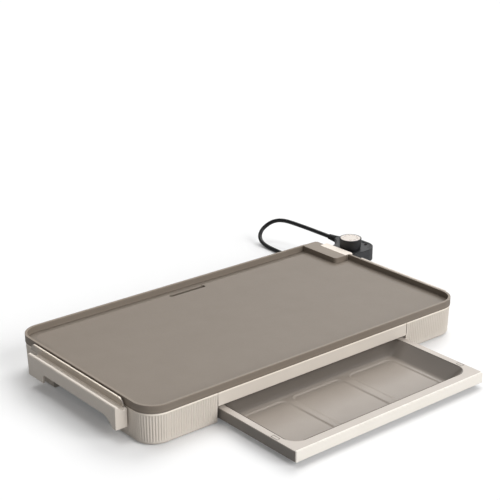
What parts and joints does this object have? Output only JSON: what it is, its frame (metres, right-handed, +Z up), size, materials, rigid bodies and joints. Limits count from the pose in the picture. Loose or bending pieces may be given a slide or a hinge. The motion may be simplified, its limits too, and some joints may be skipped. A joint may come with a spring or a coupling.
{
  "type": "electric griddle",
  "caption": "Low rectangular electric griddle on fluted corner feet, with side handles, a pull-out warming drawer, a rear drip tray and a plug-in dial control.",
  "frame": {"origin": "middle of the footprint at table height, measured with the warming drawer drawn out and without the mains lead", "axes": "+X along the long side towards the probe port, +Y towards the rear, +Z up"},
  "size_m": [0.674, 0.6524, 0.0705],
  "materials": {
    "plate_coating": "matte ceramic non-stick coating on cast aluminium",
    "base_plastic": "fine matte moulded plastic",
    "drawer_plastic": "fine matte moulded plastic",
    "pan_enamel": "satin coated steel",
    "control_plastic": "fine spark texture",
    "dial_print": "satin printed disc",
    "rubber": "matte rubber",
    "cord_pvc": "satin flexible sheath",
    "sheet_steel": "rolled sheet",
    "bright_steel": "turned steel",
    "element_sheath": "heat-darkened tube",
    "brass": "plain brass",
    "lens": "smoked lens"
  },
  "bodies": {
    "base": {"griddle_plate": "plate_coating", "front_fascia": "base_plastic", "rear_panel": "base_plastic", "side_panel_left": "base_plastic", "side_panel_right": "base_plastic", "probe_port_guard": "base_plastic", "handle_left": "base_plastic", "handle_right": "base_plastic", "heat_guard_left": "base_plastic", "heat_guard_right": "base_plastic", "corner_foot_front_left": "base_plastic", "corner_foot_front_right": "base_plastic", "corner_foot_rear_left": "base_plastic", "corner_foot_rear_right": "base_plastic", "rubber_pad_front_left": "rubber", "rubber_pad_front_right": "rubber", "rubber_pad_rear_left": "rubber", "rubber_pad_rear_right": "rubber", "heat_shield": "sheet_steel", "drawer_rail_left": "sheet_steel", "drawer_rail_right": "sheet_steel", "drip_rail_left": "sheet_steel", "drip_rail_right": "sheet_steel", "base_screw_front_left": "bright_steel", "base_screw_front_right": "bright_steel", "base_screw_rear_left": "bright_steel", "base_screw_rear_right": "bright_steel", "plate_stud_1": "bright_steel", "plate_stud_2": "bright_steel", "plate_stud_3": "bright_steel", "plate_stud_4": "bright_steel", "terminal_pin_1": "bright_steel", "terminal_pin_2": "bright_steel", "probe_socket_tube": "bright_steel", "heating_element": "element_sheath"},
    "drawer": {"drawer_frame": "drawer_plastic", "drawer_front": "drawer_plastic", "warming_pan": "pan_enamel"},
    "drip_tray": {"drip_tray": "base_plastic"},
    "control": {"control_housing_lower": "control_plastic", "control_housing_upper": "control_plastic", "thermostat_switch": "brass", "sensing_rod": "bright_steel", "contact_sleeve_1": "brass", "contact_sleeve_2": "brass", "housing_screw_1": "bright_steel", "housing_screw_2": "bright_steel", "indicator_lens": "lens", "strain_relief": "rubber", "cord_lead": "cord_pvc", "cord_coil": "cord_pvc", "cord_tie": "rubber", "plug_body": "rubber", "plug_blade_1": "brass", "plug_blade_2": "brass"},
    "dial": {"dial_knob": "control_plastic", "dial_face": "dial_print"}
  },
  "joints": [
    {"name": "drawer_slide", "type": "slide", "parent": "base", "child": "drawer", "axis": [0, -1, 0], "range_m": [-0.149, 0]},
    {"name": "drip_tray_slide", "type": "slide", "parent": "base", "child": "drip_tray", "axis": [0, 1, 0], "range_m": [0, 0.06]},
    {"name": "control_unplug", "type": "slide", "parent": "base", "child": "control", "axis": [1, 0, 0], "range_m": [0, 0.06]},
    {"name": "dial_turn", "type": "hinge", "parent": "control", "child": "dial", "pos_m": [0.294, 0.183, 0.052], "axis": [0, 0, 1], "range_deg": [-270, 0]}
  ]
}
